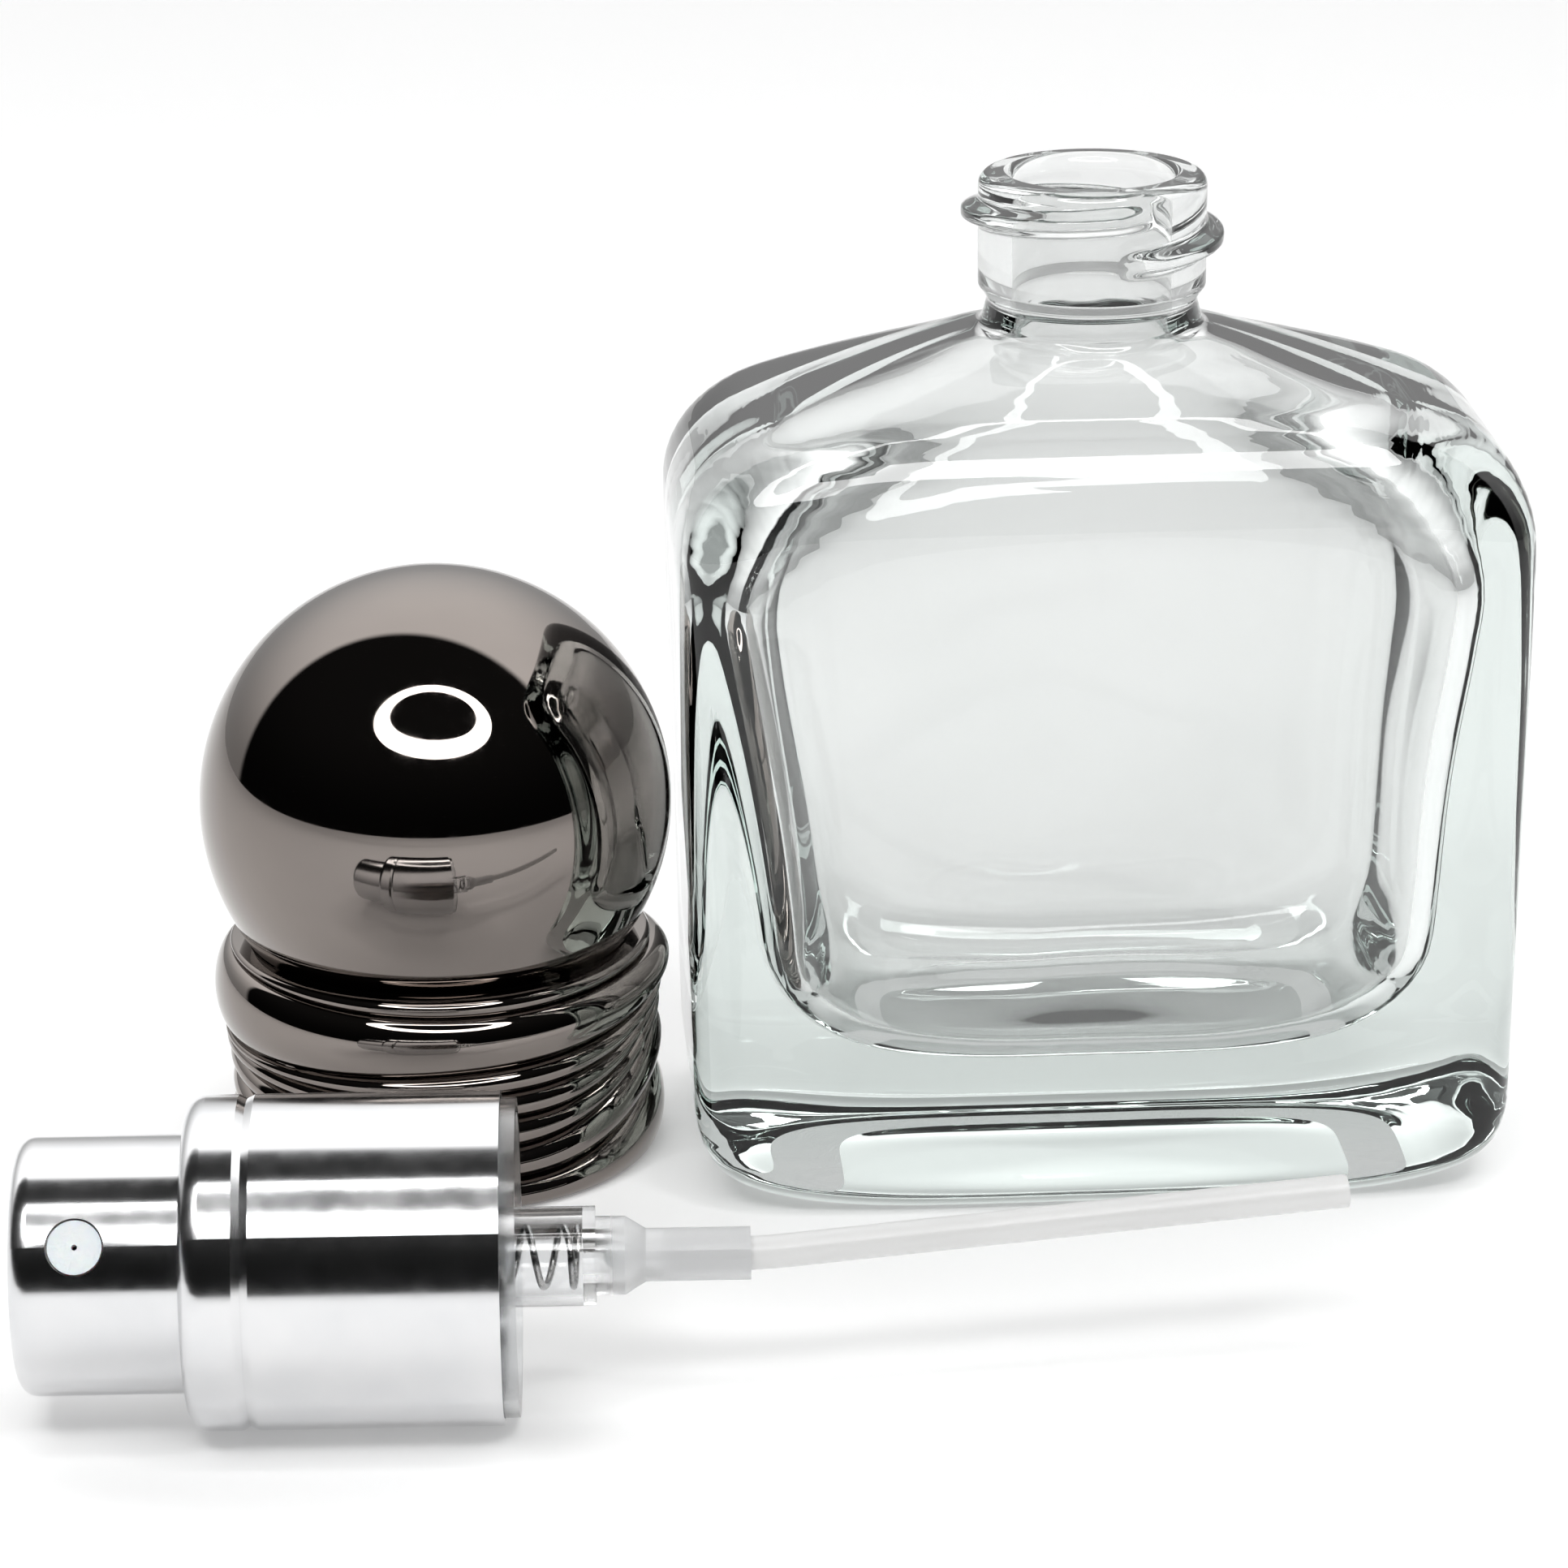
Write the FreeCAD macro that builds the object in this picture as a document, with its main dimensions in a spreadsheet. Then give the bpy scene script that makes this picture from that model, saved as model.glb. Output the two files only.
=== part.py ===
import FreeCAD, Part
import math
import os
import re

import Sketcher

# Aftershave bottle laid out as three loose assemblies, in millimetres: the square glass
# bottle, its ball-shaped cap and its screw-on spray pump. Origin: centre of the bottle's
# base, +Z up its neck, -Y out of its front face. The pump lies on its side in front of
# the bottle. Its pieces are drawn in the pump's own frame, whose +Z runs along the pump
# from the end of the dip-tube socket (0) up to the top of the button.

DIMENSIONS = {
    # glass bottle: front profile, side profile, then the hollow's own pair
    "base_half": 27.7, "top_half": 28.6, "shoulder_z": 50.5,
    "shoulder_round": 8.5, "base_round": 6.5, "half_depth": 15.5, "brow_z": 52.0,
    "ridge_z": 60.3, "brow_round": 10.0, "crown_half": 6.9, "crown_z": 58.0,
    "edge_round": 2.6,
    "cavity_base_half": 21.6, "cavity_top_half": 26.2, "cavity_floor": 9.7,
    "cavity_shoulder_z": 48.9, "cavity_shoulder_round": 7.4,
    "cavity_base_round": 8.5, "cavity_floor_half_depth": 10.9,
    "cavity_half_depth": 12.6, "cavity_brow_z": 50.4,
    "cavity_ridge_z": 57.0, "cavity_brow_round": 8.0, "cavity_crown_half": 5.2,
    "cavity_crown_z": 56.2, "cavity_edge_round": 3.0,
    "neck_radius": 7.05, "rim_radius": 7.65, "neck_waist_z": 60.0, "neck_step_z": 60.8,
    "rim_z": 68.5, "lip_round": 0.9, "flare_radius": 9.0, "flare_z": 56.0,
    "mouth_radius": 5.35, "thread_pitch": 3.175, "thread_rise": 3.3, "thread_radius": 8.8,
    "thread_z": 62.65, "thread_root": 1.9, "thread_crest": 0.8,
    # ball cap
    "cap_x": 44.85, "cap_y": 2.4, "ball_radius": 16.25, "ball_z": 24.9, "ball_seat_z": 15.4,
    "spigot_radius": 13.1, "spigot_z": 11.6, "cap_gap": 0.04,
    "skirt_top_z": 15.3, "skirt_core_radius": 14.4, "strand_ring": 14.0, "strand_radius": 1.0,
    "strand_tilt": 7.3, "liner_radius": 12.1, "liner_bore": 10.45, "liner_step_z": 19.8,
    "liner_nose_bore": 8.7, "liner_nose": 9.9, "liner_end_z": 31.6, "liner_top_z": 32.8,
    "liner_foot": 0.5,
    # spray pump, along its own axis
    "metal_rim_z": 15.36, "collar_top_z": 34.8, "collar_radius": 10.4, "metal_wall": 0.45,
    "collar_round": 1.3, "collar_hole": 8.2, "groove_z": 31.0, "groove_half": 0.5,
    "groove_depth": 0.25, "ring_radius": 9.9, "ring_bore": 9.0, "ring_end_z": 14.4,
    "ring_web_z": 29.85, "ring_top_z": 30.6, "ring_hole": 8.25, "ring_thread": 0.85,
    "ring_thread_z": 17.2, "ring_thread_rise": 6.3, "ring_thread_half": 0.7,
    "gasket_z": 26.85, "gasket_top_z": 27.65, "gasket_radius": 8.7, "gasket_hole": 5.0,
    "flange_z": 27.7, "flange_top_z": 28.7, "flange_radius": 8.85,
    "turret_z": 28.75, "turret_top_z": 29.75, "turret_boss": 3.4, "turret_boss_z": 31.2,
    "turret_spigot": 3.65, "turret_spigot_z": 24.7, "barrel_radius": 3.1,
    "barrel_bore": 2.45, "barrel_z": 9.6, "ledge_z": 10.4, "collar_plug": 4.4,
    "plug_z": 24.0, "plug_bore_z": 24.6, "throat_radius": 2.45, "throat_z": 7.8,
    "socket_radius": 1.66, "cone_z": 6.5, "chamber_radius": 1.15, "seat_top_z": 7.9,
    "seat_z": 7.1, "inlet_radius": 0.55, "socket_bore": 1.1, "socket_depth": 5.4,
    "check_ball_radius": 1.0, "check_ball_z": 8.12,
    "piston_radius": 2.42, "piston_z": 21.4, "piston_top_z": 24.5, "piston_waist": 2.1,
    "piston_lip": 0.8, "stem_radius": 1.5, "stem_tail": 0.98, "stem_tail_z": 21.6,
    "stem_shoulder_z": 23.6, "stem_top_z": 38.0, "stem_bore": 0.6, "stem_fit": 0.03,
    "spring_radius": 1.87, "spring_wire": 0.225, "spring_pitch": 2.3,
    "tube_radius": 1.06, "tube_bore": 0.6, "tube_inset": 5.0, "tube_bend": 7.4,
    "tube_bend_radius": 14.0, "tube_run": 36.1,
    "button_radius": 8.05, "button_z": 34.2, "button_top_z": 45.25, "button_round": 1.2,
    "core_radius": 7.56, "core_wall": 0.9, "core_z": 35.0, "core_top_z": 44.75,
    "core_roof": 1.1, "boss_radius": 2.7, "nozzle_z": 41.1, "nozzle_radius": 1.66,
    "nozzle_back": 4.3, "nozzle_front": 7.85, "nozzle_fit": 0.05, "orifice_radius": 0.18,
    "swirl_radius": 0.7, "swirl_depth": 2.6, "nozzle_boss": 2.35, "passage_radius": 0.45,
    "passage_top": 0.6, "branch_radius": 0.35,
    # where the pump lies
    "pump_x": -26.0, "pump_y": -44.7, "pump_heading": 2.09, "nozzle_lift": 31.0,
    "tube_turn": 130.0,
}

# The cap skirt's strands, from the foot up: share of the skirt's height, share of the
# tilt, which way it leans in degrees, how far out it sits and its thickness.
STRANDS = [(0.14, 0.2, 10, 0.1, 1.7), (0.36, 0.9, 200, 0.25, 1.35), (0.50, 1.0, 60, 0, 1.3),
           (0.62, 0.95, 320, 0.15, 1.35), (0.81, 0.35, 100, 0.2, 1.6)]

doc = FreeCAD.newDocument("AftershaveBottle")
sheet = doc.addObject("Spreadsheet::Sheet", "Dims")
for row, (name, size) in enumerate(DIMENSIONS.items(), start=1):
    sheet.set(f"A{row}", name)
    sheet.set(f"B{row}", str(size))
    sheet.setAlias(f"B{row}", name)
doc.recompute()


def bound(text):
    """The expression with every dimension's name pointed at the spreadsheet."""
    return re.sub(r"[a-z]\w+", lambda word: "Dims." + word.group(0), text)


def size(text):
    """The present value of an expression in the sheet's dimensions."""
    return float(sheet.evalExpression(bound(text)))


def origin_plane(body, role):
    return next(item for item in body.Origin.OriginFeatures if item.Role == role)


def new_body(label):
    body = doc.addObject("PartDesign::Body", label)
    body.Label = label
    return body


def new_sketch(body, name, role, lift=None, turn=0.0):
    """An empty sketch on an origin plane, lifted off it and turned about its Y axis."""
    sketch = body.newObject("Sketcher::SketchObject", body.Label + "_" + name)
    sketch.AttachmentSupport = [(origin_plane(body, role), "")]
    sketch.MapMode = "FlatFace"
    swing = FreeCAD.Rotation(FreeCAD.Vector(0, 1, 0), turn)
    sketch.AttachmentOffset = FreeCAD.Placement(FreeCAD.Vector(0, 0, 0), swing)
    if lift:
        sketch.setExpression("AttachmentOffset.Base.z", bound(lift))
    return sketch


def pin_point(sketch, element, end, across, up):
    """Hold one sketch point at its two distances from the sketch's origin."""
    for text, kind, axis in ((across, "DistanceX", -2), (up, "DistanceY", -1)):
        if text == "0":
            sketch.addConstraint(Sketcher.Constraint("PointOnObject", element, end, axis))
        else:
            rule = Sketcher.Constraint(kind, -1, 1, element, end, size(text))
            index = sketch.addConstraint(rule)
            sketch.setExpression(f"Constraints[{index}]", bound(text))


def outline(body, name, role, points, turn=0.0):
    """A closed outline of straight sides, each corner given as two expressions."""
    sketch = new_sketch(body, name, role, turn=turn)
    places = [FreeCAD.Vector(size(x), size(y), 0) for x, y in points]
    count = len(places)
    for i in range(count):
        sketch.addGeometry(Part.LineSegment(places[i], places[(i + 1) % count]))
    for i in range(count):
        sketch.addConstraint(Sketcher.Constraint("Coincident", i, 2, (i + 1) % count, 1))
    for i, (x, y) in enumerate(points):
        pin_point(sketch, i, 1, x, y)
    return sketch


def circle(body, name, role, across, up, radius, lift=None):
    sketch = new_sketch(body, name, role, lift)
    centre = FreeCAD.Vector(size(across), size(up), 0)
    sketch.addGeometry(Part.Circle(centre, FreeCAD.Vector(0, 0, 1), size(radius)))
    index = sketch.addConstraint(Sketcher.Constraint("Radius", 0, size(radius)))
    sketch.setExpression(f"Constraints[{index}]", bound(radius))
    pin_point(sketch, 0, 3, across, up)
    return sketch


def turned(body, name, sketch, kind="PartDesign::Revolution"):
    """Turn a sketch a full circle about its own vertical axis."""
    feature = body.newObject(kind, body.Label + "_" + name)
    feature.Profile = sketch
    feature.ReferenceAxis = (sketch, ["V_Axis"])
    feature.Angle = 360.0
    doc.recompute()
    return feature


def extruded(body, name, sketch, length, kind="PartDesign::Pad", midplane=False,
             backwards=False):
    feature = body.newObject(kind, body.Label + "_" + name)
    feature.Profile = sketch
    feature.Midplane = midplane
    feature.Reversed = backwards
    feature.setExpression("Length", bound(length))
    doc.recompute()
    return feature


def rounded(body, name, radius, wanted):
    """Round the edges of the body's present shape for which wanted(edge) holds."""
    last = body.Tip
    names = [f"Edge{i}" for i, edge in enumerate(last.Shape.Edges, 1) if wanted(edge)]
    feature = body.newObject("PartDesign::Fillet", body.Label + "_" + name)
    feature.Base = (last, names)
    feature.setExpression("Radius", bound(radius))
    doc.recompute()
    return feature


def helical(body, name, sketch, pitch, rise, kind="PartDesign::AdditiveHelix"):
    feature = body.newObject(kind, body.Label + "_" + name)
    feature.Profile = sketch
    feature.ReferenceAxis = (sketch, ["V_Axis"])
    feature.Mode = 0
    feature.setExpression("Pitch", bound(pitch))
    feature.setExpression("Height", bound(rise))
    doc.recompute()
    return feature


def ring_edge(radius, z):
    """True for a full circle of this radius about the Z axis at this height."""
    def wanted(edge):
        if not isinstance(edge.Curve, Part.Circle):
            return False
        middle = edge.Curve.Center
        near_axis = math.hypot(middle.x, middle.y) < 1e-3
        return near_axis and abs(edge.Curve.Radius - radius) < 1e-3 and abs(middle.z - z) < 1e-3
    return wanted


def prism(label, role, points, length, rounds):
    """A straight-sided slab through an outline, its corner edges rounded by height."""
    body = new_body(label)
    extruded(body, "slab", outline(body, "outline", role, points), length, midplane=True)
    for i, (radius, low, high) in enumerate(rounds):
        across = "Y" if role == "XZ_Plane" else "X"
        rounded(body, f"round_{i}", radius, runs_along(across, size(low), size(high)))
    return body


def runs_along(axis, low, high):
    """True for a straight edge along one axis, within a span of heights."""
    def wanted(edge):
        box = edge.BoundBox
        lengths = {"X": box.XLength, "Y": box.YLength}
        other = "Y" if axis == "X" else "X"
        straight = lengths[axis] > 5 and lengths[other] < 0.01
        return straight and low <= box.ZMin and box.ZMax <= high
    return wanted


def mirrored(points):
    """An outline's right half, from the bottom up, closed with its mirror image."""
    return points + [("-(" + x + ")", z) for x, z in reversed(points) if x != "0"]


def hipped_block(label, front, front_rounds, side, side_rounds, edge_round):
    """Where a front profile and a side profile meet, with the meeting edges rounded."""
    wide = prism(label + "_front", "XZ_Plane", mirrored(front), "3 * half_depth", front_rounds)
    deep = prism(label + "_side", "YZ_Plane", mirrored(side), "3 * top_half", side_rounds)
    block = joined("Part::Common", label + "_block", wide, deep)
    soft = doc.addObject("Part::Fillet", label + "_soft")
    soft.Base = block
    radius = size(edge_round)
    sharp = [i for i, edge in enumerate(block.Shape.Edges, 1) if is_hip(block.Shape, edge)]
    soft.Edges = [(i, radius, radius) for i in sharp]
    doc.recompute()
    return soft


def is_hip(shape, edge):
    """True for an edge where a front-profile face meets a side-profile face at an angle."""
    faces = shape.ancestorsOfType(edge, Part.Face)
    if len(faces) != 2:
        return False
    middle = edge.valueAt((edge.FirstParameter + edge.LastParameter) / 2)
    normals = []
    for face in faces:
        u, v = face.Surface.parameter(middle)
        normals.append(face.normalAt(u, v))
    below_crown = middle.z < shape.BoundBox.ZMax - 0.1
    return below_crown and normals[0].getAngle(normals[1]) > math.radians(12)


def glass_blank():
    """The bottle's outside: hipped slab, neck, rounded lip and single-start thread."""
    slab = hipped_block(
        "glass", [("base_half", "0"), ("top_half", "shoulder_z"), ("crown_half", "crown_z")],
        [("base_round", "-0.1", "0.1"),
         ("shoulder_round", "shoulder_z - 0.1", "shoulder_z + 0.1")],
        [("half_depth", "0"), ("half_depth", "brow_z"), ("0", "ridge_z")],
        [("brow_round", "brow_z - 0.1", "brow_z + 0.1")],
        "edge_round")
    body = new_body("glass_neck")
    neck = [("0", "cavity_shoulder_z"), ("5", "cavity_shoulder_z"),
            ("flare_radius", "flare_z - 1.3"), ("neck_radius + 0.5", "neck_waist_z - 2.2"),
            ("neck_radius", "neck_waist_z"), ("rim_radius", "neck_step_z"),
            ("rim_radius", "rim_z"), ("0", "rim_z")]
    turned(body, "turning", outline(body, "section", "XZ_Plane", neck))
    rounded(body, "lip", "lip_round", ring_edge(size("rim_radius"), size("rim_z")))
    ridge = [("rim_radius - 0.3", "thread_z"),
             ("thread_radius", "thread_z + (thread_root - thread_crest) / 2"),
             ("thread_radius", "thread_z + (thread_root + thread_crest) / 2"),
             ("rim_radius - 0.3", "thread_z + thread_root")]
    profile = outline(body, "thread_profile", "XZ_Plane", ridge, turn=-80.0)
    helical(body, "thread", profile, "thread_pitch", "thread_rise")
    return joined("Part::Fuse", "glass_blank", slab, body)


def glass_hollow():
    """The space inside the glass, from the thick base up through the mouth."""
    space = hipped_block(
        "hollow", [("cavity_base_half", "cavity_floor"),
                   ("cavity_top_half", "cavity_shoulder_z"),
                   ("cavity_crown_half", "cavity_crown_z")],
        [("cavity_base_round", "cavity_floor - 0.1", "cavity_floor + 0.1"),
         ("cavity_shoulder_round", "cavity_shoulder_z - 0.1", "cavity_shoulder_z + 0.1")],
        [("cavity_floor_half_depth", "cavity_floor"), ("cavity_half_depth", "cavity_brow_z"),
         ("0", "cavity_ridge_z")],
        [("cavity_brow_round", "cavity_brow_z - 0.1", "cavity_brow_z + 0.1")],
        "cavity_edge_round")
    mouth = lathe("glass_mouth", [
        ("0", "cavity_shoulder_z"), ("mouth_radius", "cavity_shoulder_z"),
        ("mouth_radius", "rim_z - 0.7"), ("mouth_radius + 0.5", "rim_z + 0.1"),
        ("0", "rim_z + 0.1")])
    return joined("Part::Fuse", "glass_hollow", space, mouth)


def joined(kind, label, base, tool):
    feature = doc.addObject(kind, label)
    feature.Label = label
    feature.Base = base
    feature.Tool = tool
    feature.Refine = False
    doc.recompute()
    return feature


def glass_bottle():
    return joined("Part::Cut", "glass_bottle", glass_blank(), glass_hollow())


def lathe(label, points, roundings=()):
    """A turned piece: its half section, then rounded circular edges."""
    body = new_body(label)
    turned(body, "turning", outline(body, "section", "XZ_Plane", points))
    for name, radius, ring, z in roundings:
        rounded(body, name, radius, ring_edge(size(ring), size(z)))
    return body


def cap_ball():
    """Polished ball with a spigot below, bored for the liner."""
    body = new_body("cap_ball")
    sketch = new_sketch(body, "section", "XZ_Plane")
    radius, middle, seat = size("ball_radius"), size("ball_z"), size("ball_seat_z")
    half = math.sqrt(radius ** 2 - (middle - seat) ** 2)
    low = math.atan2(seat - middle, half)
    centre = FreeCAD.Vector(0, middle, 0)
    up = FreeCAD.Vector(0, 0, 1)
    arc = Part.ArcOfCircle(Part.Circle(centre, up, radius), low, math.pi / 2)
    bore, top = size("liner_radius + cap_gap"), size("liner_top_z + cap_gap")
    spigot, foot = size("spigot_radius"), size("spigot_z")
    path = [(0, middle + radius), (0, top), (bore, top), (bore, foot), (spigot, foot),
            (spigot, seat), (half, seat)]
    sketch.addGeometry(arc)
    corners = [FreeCAD.Vector(x, y, 0) for x, y in path]
    for start, end in zip(corners, corners[1:]):
        sketch.addGeometry(Part.LineSegment(start, end))
    last = len(path) - 1
    for i in range(1, last):
        sketch.addConstraint(Sketcher.Constraint("Coincident", i, 2, i + 1, 1))
    sketch.addConstraint(Sketcher.Constraint("Coincident", 0, 2, 1, 1))
    sketch.addConstraint(Sketcher.Constraint("Coincident", last, 2, 0, 1))
    pin_point(sketch, 0, 3, "0", "ball_z")
    index = sketch.addConstraint(Sketcher.Constraint("Radius", 0, radius))
    sketch.setExpression(f"Constraints[{index}]", bound("ball_radius"))
    sketch.addConstraint(Sketcher.Constraint("PointOnObject", 1, 1, -2))
    pin_point(sketch, 1, 2, "0", "liner_top_z + cap_gap")
    pin_point(sketch, 2, 2, "liner_radius + cap_gap", "liner_top_z + cap_gap")
    pin_point(sketch, 3, 2, "liner_radius + cap_gap", "spigot_z")
    pin_point(sketch, 4, 2, "spigot_radius", "spigot_z")
    pin_point(sketch, 5, 2, "spigot_radius", "ball_seat_z")
    index = sketch.addConstraint(Sketcher.Constraint("DistanceY", -1, 1, 0, 1, seat))
    sketch.setExpression(f"Constraints[{index}]", bound("ball_seat_z"))
    turned(body, "turning", sketch)
    return body


def cap_skirt():
    """Base ring of the cap: a core wrapped in strands that cross at shallow slopes."""
    core = lathe("skirt_core", [
        ("liner_radius + cap_gap", "0"), ("skirt_core_radius", "0"),
        ("skirt_core_radius", "skirt_top_z"), ("liner_radius + cap_gap", "skirt_top_z")])
    strands = [core]
    for i, (height, lean, way, out, radius) in enumerate(STRANDS):
        strand = new_body(f"skirt_strand_{i}")
        ring = circle(strand, "wire", "XZ_Plane", f"strand_ring + {out}", "0",
                      f"strand_radius * {radius}")
        turned(strand, "ring", ring)
        axis = FreeCAD.Vector(math.cos(math.radians(way)), math.sin(math.radians(way)), 0)
        tilt = FreeCAD.Rotation(axis, lean * size("strand_tilt"))
        strand.Placement = FreeCAD.Placement(FreeCAD.Vector(0, 0, 0), tilt)
        strand.setExpression("Placement.Base.z", bound(f"skirt_top_z * {height}"))
        strands.append(strand)
    wrap = doc.addObject("Part::MultiFuse", "skirt_wrap")
    wrap.Shapes = strands
    wrap.Refine = False
    seat = lathe("skirt_seat", [
        ("0", "spigot_z - cap_gap"), ("spigot_radius + cap_gap", "spigot_z - cap_gap"),
        ("spigot_radius + cap_gap", "ball_z"), ("0", "ball_z")])
    return joined("Part::Cut", "cap_skirt", wrap, seat)


def cap_liner():
    """Plastic insert that grips the pump's collar, with a nose for the button."""
    return lathe("cap_liner", [
        ("liner_bore", "liner_foot"), ("liner_radius", "liner_foot"),
        ("liner_radius", "liner_step_z + 2"), ("liner_nose", "liner_step_z + 4"),
        ("liner_nose", "liner_top_z - 0.4"), ("0", "liner_top_z - 0.4"),
        ("0", "liner_end_z"), ("liner_nose_bore", "liner_end_z"),
        ("liner_nose_bore", "liner_step_z + 0.8"), ("liner_bore", "liner_step_z")])


def collar_shell():
    """Aluminium overshell of the screw collar, with a fine groove below its shoulder."""
    return lathe("collar_shell", [
        ("collar_radius - metal_wall", "metal_rim_z"), ("collar_radius", "metal_rim_z"),
        ("collar_radius", "groove_z - groove_half"),
        ("collar_radius - groove_depth", "groove_z"),
        ("collar_radius", "groove_z + groove_half"), ("collar_radius", "collar_top_z"),
        ("collar_hole", "collar_top_z"), ("collar_hole", "collar_top_z - metal_wall"),
        ("collar_radius - metal_wall", "collar_top_z - metal_wall")],
        [("shoulder", "collar_round", "collar_radius", "collar_top_z")])


def collar_thread_ring():
    """Threaded plastic ring inside the collar; its web pulls the pump's flange down."""
    body = lathe("collar_thread_ring", [
        ("ring_bore", "ring_end_z"), ("ring_radius", "ring_end_z"),
        ("ring_radius", "ring_top_z"), ("ring_hole", "ring_top_z"),
        ("ring_hole", "ring_web_z"), ("ring_bore", "ring_web_z")])
    ridge = [("ring_bore + 0.3", "ring_thread_z - ring_thread_half - 0.35"),
             ("ring_bore + 0.3", "ring_thread_z + ring_thread_half + 0.35"),
             ("ring_bore - ring_thread", "ring_thread_z + ring_thread_half / 2"),
             ("ring_bore - ring_thread", "ring_thread_z - ring_thread_half / 2")]
    profile = outline(body, "thread_profile", "XZ_Plane", ridge)
    helical(body, "thread", profile, "thread_pitch", "ring_thread_rise")
    return body


def neck_gasket():
    return lathe("neck_gasket", [
        ("gasket_hole", "gasket_z"), ("gasket_radius", "gasket_z"),
        ("gasket_radius", "gasket_top_z"), ("gasket_hole", "gasket_top_z")])


def pump_housing():
    """Barrel with its flange, spring ledge, ball chamber and dip-tube socket."""
    return lathe("pump_housing", [
        ("socket_bore", "0"), ("socket_radius", "0"), ("socket_radius", "cone_z"),
        ("throat_radius", "throat_z"), ("throat_radius", "barrel_z"),
        ("barrel_radius", "barrel_z"), ("barrel_radius", "plug_z - 1.3"),
        ("collar_plug", "plug_z"), ("collar_plug", "flange_z"),
        ("flange_radius", "flange_z"), ("flange_radius", "flange_top_z"),
        ("turret_spigot + 0.04", "flange_top_z"), ("turret_spigot + 0.04", "plug_bore_z"),
        ("barrel_bore", "plug_bore_z"), ("barrel_bore", "ledge_z"),
        ("chamber_radius", "ledge_z"), ("chamber_radius", "seat_top_z"),
        ("inlet_radius", "seat_z"), ("inlet_radius", "socket_depth"),
        ("socket_bore", "socket_depth")])


def turret():
    """Locking disc that closes the barrel and guides the stem."""
    return lathe("turret", [
        ("stem_radius + stem_fit", "turret_spigot_z"), ("turret_spigot", "turret_spigot_z"),
        ("turret_spigot", "turret_z"), ("flange_radius", "turret_z"),
        ("flange_radius", "turret_top_z"), ("turret_boss", "turret_top_z"),
        ("turret_boss", "turret_boss_z"), ("stem_radius + stem_fit", "turret_boss_z")])


def piston():
    """Sliding seal with a thin lip at each end, pressed on the stem's tail."""
    return lathe("piston", [
        ("stem_tail + 0.01", "piston_z"), ("piston_radius", "piston_z"),
        ("piston_radius", "piston_z + piston_lip"), ("piston_waist", "piston_z + piston_lip"),
        ("piston_waist", "piston_top_z - piston_lip"),
        ("piston_radius", "piston_top_z - piston_lip"), ("piston_radius", "piston_top_z"),
        ("stem_radius + 0.01", "piston_top_z"), ("stem_radius + 0.01", "stem_shoulder_z"),
        ("stem_tail + 0.01", "stem_shoulder_z")])


def stem():
    return lathe("stem", [
        ("stem_bore", "stem_tail_z"), ("stem_tail", "stem_tail_z"),
        ("stem_tail", "stem_shoulder_z"), ("stem_radius", "stem_shoulder_z"),
        ("stem_radius", "stem_top_z"), ("stem_bore", "stem_top_z")])


def spring():
    """Compression spring between the ledge and the piston."""
    body = new_body("spring")
    low = "ledge_z + spring_wire + 0.02"
    profile = circle(body, "wire", "XZ_Plane", "spring_radius", low, "spring_wire")
    rise = "piston_z - ledge_z - 2 * spring_wire - 0.06"
    helical(body, "coil", profile, "spring_pitch", rise)
    return body


def inlet_ball():
    ball = doc.addObject("Part::Sphere", "inlet_ball")
    ball.Label = "inlet_ball"
    ball.setExpression("Radius", bound("check_ball_radius"))
    return ball


def dip_tube():
    """Straight run that leaves the socket through one short bend."""
    body = new_body("dip_tube")
    bend, radius = math.radians(size("tube_bend")), size("tube_bend_radius")
    run = size("tube_run")
    start, mouth = size("tube_inset"), 0.0
    knee = FreeCAD.Vector(radius * (1 - math.cos(bend)), mouth - radius * math.sin(bend), 0)
    path = new_sketch(body, "path", "XZ_Plane")
    path.addGeometry(Part.LineSegment(FreeCAD.Vector(0, start, 0), FreeCAD.Vector(0, mouth, 0)))
    circle_at = Part.Circle(FreeCAD.Vector(radius, mouth, 0), FreeCAD.Vector(0, 0, 1), radius)
    path.addGeometry(Part.ArcOfCircle(circle_at, math.pi, math.pi + bend))
    along = FreeCAD.Vector(math.sin(bend), -math.cos(bend), 0)
    path.addGeometry(Part.LineSegment(knee, knee + along * run))
    pin_point(path, 0, 1, "0", "tube_inset")
    path.addConstraint(Sketcher.Constraint("Coincident", 0, 2, -1, 1))
    path.addConstraint(Sketcher.Constraint("Tangent", 0, 2, 1, 1))
    path.addConstraint(Sketcher.Constraint("Tangent", 1, 2, 2, 1))
    index = path.addConstraint(Sketcher.Constraint("Radius", 1, radius))
    path.setExpression(f"Constraints[{index}]", bound("tube_bend_radius"))
    index = path.addConstraint(Sketcher.Constraint("Distance", 2, run))
    path.setExpression(f"Constraints[{index}]", bound("tube_run"))
    index = path.addConstraint(Sketcher.Constraint("Angle", 1, bend))
    path.setExpression(f"Constraints[{index}]", "Dims.tube_bend * 1 deg")
    for name, wall, kind in (("outside", "tube_radius", "PartDesign::AdditivePipe"),
                             ("inside", "tube_bore", "PartDesign::SubtractivePipe")):
        profile = circle(body, name + "_circle", "XY_Plane", "0", "0", wall, "tube_inset")
        pipe = body.newObject(kind, "dip_tube_" + name)
        pipe.Profile = profile
        pipe.Spine = (path, [])
        doc.recompute()
    return body


def bored_along_x(body, name, z, radius, start, length, kind="PartDesign::Pocket"):
    """A round feature along +X from a plane lifted off the YZ plane."""
    sketch = circle(body, name + "_circle", "YZ_Plane", "0", z, radius, start)
    backwards = kind == "PartDesign::Pocket"
    return extruded(body, name, sketch, length, kind, backwards=backwards)


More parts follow.
